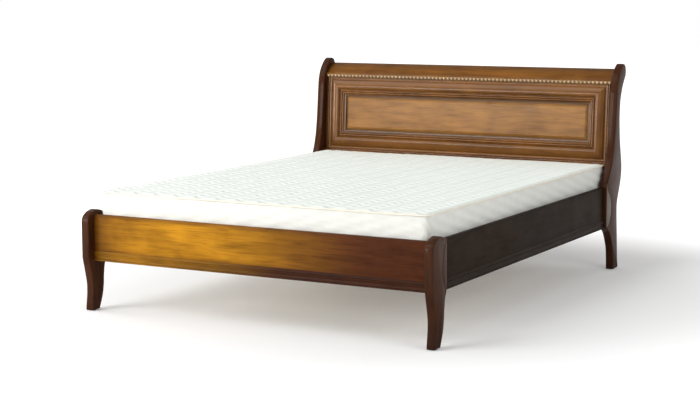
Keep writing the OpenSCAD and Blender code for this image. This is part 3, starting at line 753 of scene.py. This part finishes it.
class BED_OT_posts(bpy.types.Operator):
    """Shapes the sabre-legged foot posts and the scrolled head posts"""
    bl_idname = "bed.posts"
    bl_label = "Posts"
    bl_options = {"REGISTER", "UNDO"}

    def execute(self, context):
        sizes_now = sizes()
        stain = colours().walnut_post
        finishes = {
            "foot": stained_walnut("walnut_foot_posts", 2, stain, gloss=0.32, gleam=0.03, coat=0.11,
                                   fades=((2, 0.22, 0.02, 0.35),), move=1.3),
            "head": stained_walnut("walnut_head_posts", 2, stain, gloss=0.32, gleam=0.03, coat=0.07,
                                   fades=((2, 0.3, 0.02, 0.5),), move=2.9),
        }
        for end in ("foot", "head"):
            for hand, side in SIDES.items():
                node = end + "_post_" + hand
                lo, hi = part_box(node)
                pad_lo, pad_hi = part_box(end + "_pad_" + hand)
                obj = node_copy(node, node + "_shaped")
                cut_to_outline(obj, side, hi.x - lo.x, max(abs(lo.x), abs(hi.x)))
                share = sizes_now.pad_round / sizes_now.post_round

                def weight(p):
                    inside = (pad_lo.y - 0.0005 < p.y < pad_hi.y + 0.0005
                              and pad_lo.z + 0.002 < p.z < pad_hi.z + 0.001)
                    return share if inside else 1.0

                round_outline(obj, sizes_now.post_round, weight)
                smooth(obj, 40)
                settle(obj, "bed_frame", finishes[end], "dark_walnut", node)
        return {"FINISHED"}


class BED_OT_pads(bpy.types.Operator):
    """Shapes the seat pads between the posts and the side rails"""
    bl_idname = "bed.pads"
    bl_label = "Seat pads"
    bl_options = {"REGISTER", "UNDO"}

    def execute(self, context):
        finish = stained_walnut("walnut_pads", 2, colours().walnut_post, gloss=0.28, gleam=0.05,
                                coat=0.05, move=5.9)
        for end in ("foot", "head"):
            for hand, side in SIDES.items():
                node = end + "_pad_" + hand
                lo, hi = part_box(node)
                obj = node_copy(node, node + "_shaped")
                cut_to_outline(obj, side, hi.x - lo.x, max(abs(lo.x), abs(hi.x)))
                round_outline(obj, sizes().pad_round, lambda p: 1.0)
                smooth(obj, 40)
                settle(obj, "bed_frame", finish, "dark_walnut", node)
        return {"FINISHED"}


class BED_OT_rails(bpy.types.Operator):
    """Planes the foot rail and the side rails and rounds their upper edges"""
    bl_idname = "bed.rails"
    bl_label = "Rails"
    bl_options = {"REGISTER", "UNDO"}

    def execute(self, context):
        sizes_now = sizes()
        moulding_lo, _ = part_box("foot_rail_moulding")
        lo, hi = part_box("foot_rail")
        reach = abs(moulding_lo.x)
        obj = block("foot_rail_planed", (-reach, lo.y, lo.z), (reach, hi.y, hi.z))
        bevel_edges(obj, lambda e: middle(e).z > hi.z - NEAR and middle(e).y < lo.y + NEAR,
                    sizes_now.rail_round, 5)
        bevel_edges(obj, lambda e: middle(e).z > hi.z - NEAR and middle(e).y > hi.y - NEAR,
                    INNER_EASE, 3)
        smooth(obj)
        shades = colours()
        # The fades paint light and shade: gold where the light falls at the left, darker red towards the
        # right end, and painted shade near the posts and along the top and bottom edges.
        golden = stained_walnut("walnut_foot_rail", 0, shades.walnut_gold_lit, shades.walnut_red_shaded, fades=(
            (0, -0.30, 0.70, 1.0), (0, -0.20, -0.82, 0.62), (3, 0.72, 0.83, 0.55),
            (2, hi.z - 0.02, hi.z + 0.006, 0.6), (2, lo.z + 0.066, lo.z + 0.04, 0.6)),
            gleam=0.04, coat=0.022, move=0.6)
        settle(obj, "bed_frame", golden, "walnut_stain", "foot_rail")
        dark = stained_walnut("walnut_side_rails", 1, shades.walnut_side, gleam=0.015, coat=0.0,
                              move=8.1)
        for hand, side in SIDES.items():
            node = "side_rail_" + hand
            lo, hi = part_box(node)
            outer = max(abs(lo.x), abs(hi.x)) * side
            obj = block(node + "_planed", lo, hi)
            bevel_edges(obj, lambda e: middle(e).z > hi.z - NEAR
                        and abs(middle(e).x - outer) < NEAR, sizes_now.rail_round, 5)
            bevel_edges(obj, lambda e: middle(e).z > hi.z - NEAR
                        and abs(middle(e).x - outer) > abs(hi.x - lo.x) - NEAR, INNER_EASE, 3)
            smooth(obj)
            settle(obj, "bed_frame", dark, "walnut_stain", node)
        return {"FINISHED"}


class BED_OT_mouldings(bpy.types.Operator):
    """Runs the base mouldings, the headboard's mouldings and beads, and the crest"""
    bl_idname = "bed.mouldings"
    bl_label = "Mouldings and crest"
    bl_options = {"REGISTER", "UNDO"}

    def execute(self, context):
        shades = colours()
        stain = shades.walnut_moulding
        lacquer = {"gloss": 0.24, "gleam": 0.16, "coat": 0.16, "figured": 0.12,
                   "relief": 0.004}
        across = stained_walnut("walnut_frame_across", 0, stain, move=9.4, **lacquer)
        upright = stained_walnut("walnut_frame_upright", 2, stain, move=6.6, **lacquer)
        # Painted shade in the quirks and grooves of the beads.
        quirk_shade = {"depth": (0.0015, 0.0058, 0.5)}
        bead_across = stained_walnut("walnut_beads_across", 0, stain, move=1.4, **quirk_shade, **lacquer)
        bead_upright = stained_walnut("walnut_beads_upright", 2, stain, move=2.6, **quirk_shade, **lacquer)
        # Gold at the left fading to dark red at the right: partly the stain's own tone, partly painted
        # light from the left.
        foot = stained_walnut("walnut_base_moulding", 0, shade_of(tuple(shades.walnut_gold_lit), 0.55),
                              shade_of(tuple(shades.walnut_red_shaded), 0.55), coat=0.05, relief=0.01,
                              fades=((0, -0.4, 0.30, 1.0), (0, -0.5, -0.9, 0.5)), move=0.9)
        side = stained_walnut("walnut_side_moulding", 1, shades.walnut_side, gleam=0.03, coat=0.015,
                              move=1.9)
        # The crest darkens towards its top: painted shade.
        crest = stained_walnut("walnut_crest", 0, shades.walnut_crest, gloss=0.33, gleam=0.07,
                               coat=0.03, fades=((2, 0.962, 1.0, 0.6),), move=2.2)
        runs = {"foot_rail_moulding": foot, "side_rail_moulding_left": side,
                "side_rail_moulding_right": side, "crest_rail": crest}
        for part in ("top", "bottom"):
            runs["frame_moulding_" + part] = across
            runs["panel_bead_" + part] = bead_across
        for part in SIDES:
            runs["frame_moulding_" + part] = upright
            runs["panel_bead_" + part] = bead_upright
        for hand in SIDES:
            runs["edge_bead_" + hand] = bead_upright
        for node, finish in runs.items():
            obj = node_copy(node, node + "_run")
            smooth(obj, 34)
            settle(obj, "bed_frame", finish, "walnut_stain", node)
        return {"FINISHED"}


class BED_OT_panel(bpy.types.Operator):
    """Fields the raised panel and eases its edges"""
    bl_idname = "bed.panel"
    bl_label = "Raised panel"
    bl_options = {"REGISTER", "UNDO"}

    def execute(self, context):
        obj = node_copy("raised_panel", "raised_panel_fielded")
        ease(obj, FIELD_EASE, angle=20)
        edit(obj)
        bpy.ops.mesh.select_all(action="SELECT")
        bpy.ops.mesh.remove_doubles(threshold=FIELD_WELD)
        bpy.ops.mesh.dissolve_degenerate(threshold=FIELD_WELD)
        done()
        smooth(obj, 25)
        # depth paints shade on the bevel round the field, under the frame moulding.
        finish = stained_walnut("walnut_panel", 0, colours().walnut_panel, gloss=0.34, gleam=0.14,
                                coat=0.06, relief=0.01, depth=(-0.0075, -0.0015, 0.6), move=4.2)
        settle(obj, "bed_frame", finish, "walnut_stain", "raised_panel")
        return {"FINISHED"}


class BED_OT_beads(bpy.types.Operator):
    """Turns the row of beads under the crest"""
    bl_idname = "bed.beads"
    bl_label = "Bead course"
    bl_options = {"REGISTER", "UNDO"}

    def execute(self, context):
        sizes_now = sizes()
        lo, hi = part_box("bead_course")
        radius = sizes_now.bead_radius
        bead_y = lo.y + radius
        face = bead_y - STRIP_PROUD
        strip = block("bead_course_turned", (lo.x, face, lo.z), hi)
        bevel_edges(strip, lambda e: middle(e).y < face + NEAR and middle(e).z < lo.z + NEAR,
                    STRIP_ROUND, 3)
        side = int((hi.x - radius - BEAD_MARGIN) / sizes_now.bead_pitch)
        bpy.ops.object.select_all(action="DESELECT")
        bpy.ops.mesh.primitive_uv_sphere_add(
            segments=16, ring_count=8, radius=radius, rotation=(math.pi / 2, 0, 0),
            location=(-side * sizes_now.bead_pitch, bead_y, (lo.z + hi.z) / 2 + BEAD_RAISE))
        bead = bpy.context.object
        bpy.ops.object.transform_apply(location=True, rotation=True, scale=True)
        edit(bead)
        pick(bead, "FACE", lambda f: all(v.co.y > bead_y + WELD for v in f.verts))
        bpy.ops.mesh.delete(type="FACE")
        bpy.ops.mesh.select_mode(type="EDGE")
        pick(bead, "EDGE", lambda e: e.is_boundary)
        bpy.ops.mesh.edge_face_add()
        done()
        row = bead.modifiers.new("row", "ARRAY")
        row.count = 2 * side + 1
        row.use_relative_offset = False
        row.use_constant_offset = True
        row.constant_offset_displace = (sizes_now.bead_pitch, 0.0, 0.0)
        only(bead)
        bpy.ops.object.modifier_apply(modifier=row.name)
        bead.select_set(True)
        strip.select_set(True)
        bpy.context.view_layer.objects.active = strip
        bpy.ops.object.join()
        smooth(strip, 40)
        # The pale bead colour holds a painted highlight, and depth paints shade on the strip between the
        # beads.
        finish = stained_walnut("walnut_bead_course", 0, colours().walnut_bead_highlight,
                                gloss=0.3, gleam=0.24, coat=0.13, depth=(0.0068, 0.0088, 0.95),
                                move=3.7)
        settle(strip, "bed_frame", finish, "walnut_stain", "bead_course")
        return {"FINISHED"}


# ---- mattress ------------------------------------------------------------------------------


def round_corners(obj, half_x, y0, y1, radius):
    """Pulls the square corners of a grid in to the mattress's round corners."""
    mid_y = (y0 + y1) / 2
    half_y = (y1 - y0) / 2
    for vertex in obj.data.vertices:
        x, y = vertex.co.x, vertex.co.y - mid_y
        dx, dy = abs(x) - (half_x - radius), abs(y) - (half_y - radius)
        if dx > 0 and dy > 0:
            pull = max(dx, dy) / math.hypot(dx, dy)
            vertex.co.x = math.copysign(half_x - radius + dx * pull, x)
            vertex.co.y = math.copysign(half_y - radius + dy * pull, y) + mid_y


def set_hollows(obj, values):
    """Stores how deep each point of obj lies in its seams, from 0 to 1."""
    layer = obj.data.attributes.new("hollow", "FLOAT", "POINT")
    layer.data.foreach_set("value", values)


def puff(x, y, row, wave):
    """Height of the quilting, 0 on a stitch and 1 in the middle of a puff."""
    swing = 0.34 * row * math.sin(2 * math.pi * x / wave)
    first = abs(math.sin(math.pi * (y + swing) / row))
    second = abs(math.sin(math.pi * (y - swing) / row + math.pi / 2))
    return (first * 0.75 + 0.25 * first * second) ** 0.6


def quilted_panel(name, node, up):
    """A crowned, quilted panel of the mattress: a grid, drawn down along its stitches."""
    sizes_now = sizes()
    lo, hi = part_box(node)
    half_x, y0, y1 = hi.x, lo.y, hi.y
    level = hi.z if up > 0 else lo.z
    bpy.ops.object.select_all(action="DESELECT")
    bpy.ops.mesh.primitive_grid_add(
        x_subdivisions=QUILT_GRID[0], y_subdivisions=QUILT_GRID[1], size=1,
        location=(0, (y0 + y1) / 2, level))
    obj = bpy.context.object
    obj.name = name
    obj.scale = (2 * half_x, y1 - y0, 1)
    bpy.ops.object.transform_apply(location=True, rotation=True, scale=True)
    round_corners(obj, half_x, y0, y1, QUILT_CORNER)
    hollows = []
    for vertex in obj.data.vertices:
        x, y = vertex.co.x, vertex.co.y
        hollows.append(1.0 - puff(x, y, sizes_now.quilt_row, sizes_now.quilt_wave))
        edge = min(half_x - abs(x), y - y0, y1 - y)
        roll = max(0.0, 1.0 - edge / QUILT_EDGE)
        drop = QUILT_ROLL * roll ** 2
        drop += sizes_now.quilt_depth * hollows[-1]
        drop += QUILT_UNEVEN * (0.5 + noise.noise(Vector((x * 3.1, y * 3.1, 0.3))))
        vertex.co.z = level - up * drop
    set_hollows(obj, hollows)
    edit(obj)
    bpy.ops.mesh.select_all(action="SELECT")
    bpy.ops.mesh.extrude_region_move(TRANSFORM_OT_translate={"value": (0, 0, -up * QUILT_THICK)})
    done()
    return obj


class BED_OT_quilts(bpy.types.Operator):
    """Quilts the mattress's upper and lower panels"""
    bl_idname = "bed.quilts"
    bl_label = "Quilted panels"
    bl_options = {"REGISTER", "UNDO"}

    def execute(self, context):
        # Painted shade darkens the stitch valleys.
        cloth = woven("quilted_ticking", tuple(colours().ticking), 520,
                      sheen=0.3, cloudy=0.05, seam_shade=0.3)
        for name, up in (("top", 1), ("bottom", -1)):
            node = "mattress_" + name + "_panel"
            obj = quilted_panel("mattress_quilt_" + name, node, up)
            face_outward(obj)
            smooth(obj, 60)
            settle(obj, "mattress", cloth, "quilted_ticking", node)
        return {"FINISHED"}


class BED_OT_border(bpy.types.Operator):
    """Makes the mattress's ribbed border"""
    bl_idname = "bed.border"
    bl_label = "Ribbed border"
    bl_options = {"REGISTER", "UNDO"}

    def execute(self, context):
        sizes_now = sizes()
        lo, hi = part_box("mattress_border")
        half_x, y0, y1 = hi.x - BORDER_INSET, lo.y + BORDER_INSET, hi.y - BORDER_INSET
        obj = block("mattress_border_ribbed", (-half_x, y0, lo.z), (half_x, y1, hi.z))
        bevel_edges(obj, lambda e: abs(e.verts[0].co.z - e.verts[1].co.z) > 0.05, CORNER, CORNER_STEPS)
        edit(obj, "EDGE")
        pick(obj, "EDGE", lambda e: abs(e.verts[0].co.z - e.verts[1].co.z) > 0.05)
        bpy.ops.mesh.subdivide(number_cuts=BORDER_ROWS)
        done()
        for axis, cuts in BORDER_CUTS:
            edit(obj, "EDGE")
            pick(obj, "EDGE", lambda e: abs(e.verts[0].co[axis] - e.verts[1].co[axis]) > 0.5)
            bpy.ops.mesh.subdivide(number_cuts=cuts)
            done()
        mid_z, half_z = (lo.z + hi.z) / 2, (hi.z - lo.z) / 2
        mesh = obj.data
        hollows = []
        for vertex in mesh.vertices:
            x, y, z = vertex.co
            height = (z - mid_z) / half_z
            swell = BORDER_SWELL * (1 - height ** 2)
            run = x if abs(x) < half_x - CORNER else y
            wave = math.sin(2 * math.pi * (run + RIB_SLANT * (z - mid_z)) / sizes_now.rib_pitch)
            hollows.append(0.5 - 0.5 * wave)
            rib = sizes_now.rib_depth * wave
            rib *= min(1.0, 1.4 * (1 - abs(height)))
            ripple = BORDER_UNEVEN * noise.noise(Vector((x * 5.0, y * 5.0, z * 9.0)))
            out = Vector((0.0, 0.0, 0.0))
            if abs(x) > half_x - CORNER - 2 * NEAR:
                out.x = math.copysign(1.0, x) * min(1.0, (abs(x) - half_x + CORNER) / CORNER)
            if y < y0 + CORNER + 2 * NEAR:
                out.y = -min(1.0, (y0 + CORNER - y) / CORNER)
            if y > y1 - CORNER - 2 * NEAR:
                out.y = min(1.0, (y - y1 + CORNER) / CORNER)
            if out.length > 0.01:
                vertex.co += out.normalized() * (swell + rib + ripple)
        set_hollows(obj, hollows)
        smooth(obj, 60)
        # Painted shade darkens the hollows between the ribs.
        cloth = woven("border_ticking", tuple(colours().border), 520,
                      sheen=0.25, cloudy=0.05, seam_shade=0.16)
        settle(obj, "mattress", cloth, "quilted_ticking", "mattress_border")
        return {"FINISHED"}


class BED_OT_piping(bpy.types.Operator):
    """Sews the piping along the mattress's edges"""
    bl_idname = "bed.piping"
    bl_label = "Piping"
    bl_options = {"REGISTER", "UNDO"}

    def execute(self, context):
        cord = woven("piping", tuple(colours().piping), 600, sheen=0.2, cloudy=0.08)
        for name in ("top", "bottom"):
            node = "mattress_piping_" + name
            lo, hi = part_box(node)
            radius = sizes().piping_radius
            inset = radius + PIPING_SPARE
            bpy.ops.object.select_all(action="DESELECT")
            bpy.ops.mesh.primitive_plane_add(
                size=1, location=(0, (lo.y + hi.y) / 2, (lo.z + hi.z) / 2))
            obj = bpy.context.object
            obj.name = "mattress_piping_" + name + "_sewn"
            obj.scale = (hi.x - lo.x - 2 * inset, hi.y - lo.y - 2 * inset, 1)
            bpy.ops.object.transform_apply(location=True, rotation=True, scale=True)
            edit(obj, "VERT")
            bpy.ops.mesh.select_all(action="SELECT")
            bpy.ops.mesh.bevel(offset=CORNER, segments=CORNER_STEPS, affect="VERTICES")
            bpy.ops.mesh.select_all(action="SELECT")
            bpy.ops.mesh.delete(type="ONLY_FACE")
            done()
            edit(obj, "EDGE")
            pick(obj, "EDGE", lambda e: e.calc_length() > 0.5)
            bpy.ops.mesh.subdivide(number_cuts=PIPING_CUTS)
            done()
            for vertex in obj.data.vertices:
                x, y, _ = vertex.co
                vertex.co.z += PIPING_UNEVEN * noise.noise(Vector((x * 4.0, y * 4.0, 1.7)))
            only(obj)
            bpy.ops.object.convert(target="CURVE")
            obj = bpy.context.object
            obj.data.bevel_depth = radius
            obj.data.bevel_resolution = 2
            bpy.ops.object.convert(target="MESH")
            obj = bpy.context.object
            face_outward(obj, WELD)
            smooth(obj, 60)
            settle(obj, "mattress", cord, "piping", node)
        return {"FINISHED"}


OPERATORS = (BED_OT_stage, BED_OT_finishes, BED_OT_base, BED_OT_posts, BED_OT_pads, BED_OT_rails,
             BED_OT_mouldings, BED_OT_panel, BED_OT_beads, BED_OT_quilts, BED_OT_border,
             BED_OT_piping)


class BED_PT_panel(bpy.types.Panel):
    """Lists the steps in making the bed, with its sizes and colours"""
    bl_idname = "BED_PT_panel"
    bl_label = "Sleigh bed"
    bl_space_type = "VIEW_3D"
    bl_region_type = "UI"
    bl_category = "Bed"

    def draw(self, context):
        for operator in OPERATORS:
            self.layout.operator(operator.bl_idname)
        for group in (context.scene.bed_sizes, context.scene.bed_colours, context.scene.bed_stage):
            column = self.layout.column()
            for key in group.bl_rna.properties.keys():
                if key not in ("rna_type", "name"):
                    column.prop(group, key)


CLASSES = (BedSizes, BedColours, BedStage) + OPERATORS + (BED_PT_panel,)


def register():
    for cls in CLASSES:
        bpy.utils.register_class(cls)
    bpy.types.Scene.bed_sizes = PointerProperty(type=BedSizes)
    bpy.types.Scene.bed_colours = PointerProperty(type=BedColours)
    bpy.types.Scene.bed_stage = PointerProperty(type=BedStage)


def unregister():
    del bpy.types.Scene.bed_stage
    del bpy.types.Scene.bed_colours
    del bpy.types.Scene.bed_sizes
    for cls in reversed(CLASSES):
        bpy.utils.unregister_class(cls)


def main():
    register()
    for operator in OPERATORS:
        family, name = operator.bl_idname.split(".")
        getattr(getattr(bpy.ops, family), name)()


if __name__ == "__main__":
    main()
